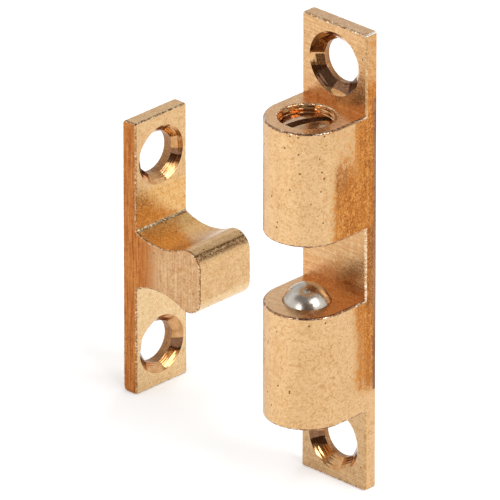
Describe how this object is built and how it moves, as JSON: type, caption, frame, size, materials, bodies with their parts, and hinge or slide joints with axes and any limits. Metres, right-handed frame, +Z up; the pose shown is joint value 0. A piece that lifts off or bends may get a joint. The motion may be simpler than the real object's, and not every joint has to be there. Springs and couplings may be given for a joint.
{
  "type": "double ball catch",
  "caption": "Brass cupboard door catch: sprung steel balls facing across a gap grip the waisted nose of a screw-on strike; slotted screws set the hold.",
  "frame": {"origin": "middle of the flat back face of the catch's fixing plate, half-way along its length", "axes": "+Z up along the catch's length, +Y back through the fixing plate into the door frame, +X across the catch; the strike stands beside it on the -X side with its nose pointing +X"},
  "size_m": [0.0404, 0.0186, 0.06],
  "materials": {
    "catch_brass": "milled and extruded bare brass",
    "strike_brass": "sawn and extruded bare brass",
    "screw_brass": "turned brass",
    "ball_steel": "polished bearing steel",
    "spring_steel": "drawn spring wire"
  },
  "bodies": {
    "fixed_parts": {"catch_body": "catch_brass", "strike": "strike_brass"},
    "upper_ball": {"upper_ball": "ball_steel"},
    "upper_spring_seat": {"upper_spring": "spring_steel"},
    "upper_screw": {"upper_adjusting_screw": "screw_brass"},
    "lower_ball": {"lower_ball": "ball_steel"},
    "lower_spring_seat": {"lower_spring": "spring_steel"},
    "lower_screw": {"lower_adjusting_screw": "screw_brass"}
  },
  "joints": [
    {"name": "upper_ball_slide", "type": "slide", "parent": "fixed_parts", "child": "upper_ball", "axis": [0, 0, 1], "range_m": [0, 0.002], "stiffness_N_per_m": 1900, "springref_m": -0.002, "deforming": ["upper_spring"]},
    {"name": "upper_screw_travel", "type": "slide", "parent": "fixed_parts", "child": "upper_spring_seat", "axis": [0, 0, 1], "range_m": [-0.0015, 0.0005], "deforming": ["upper_spring"]},
    {"name": "upper_screw_turn", "type": "hinge", "parent": "upper_spring_seat", "child": "upper_screw", "pos_m": [0, -0.00665, 0.0149], "axis": [0, 0, 1], "range_deg": [-1090, 370]},
    {"name": "lower_ball_slide", "type": "slide", "parent": "fixed_parts", "child": "lower_ball", "axis": [0, 0, -1], "range_m": [0, 0.002], "stiffness_N_per_m": 1900, "springref_m": -0.002, "deforming": ["lower_spring"]},
    {"name": "lower_screw_travel", "type": "slide", "parent": "fixed_parts", "child": "lower_spring_seat", "axis": [0, 0, -1], "range_m": [-0.0015, 0.0005], "deforming": ["lower_spring"]},
    {"name": "lower_screw_turn", "type": "hinge", "parent": "lower_spring_seat", "child": "lower_screw", "pos_m": [0, -0.00665, -0.0149], "axis": [0, 0, -1], "range_deg": [-1090, 370]}
  ],
  "couplings": [
    {"joint": "upper_screw_turn", "follows": "upper_screw_travel", "rad_per_m": 12566},
    {"joint": "lower_screw_turn", "follows": "lower_screw_travel", "rad_per_m": 12566}
  ]
}
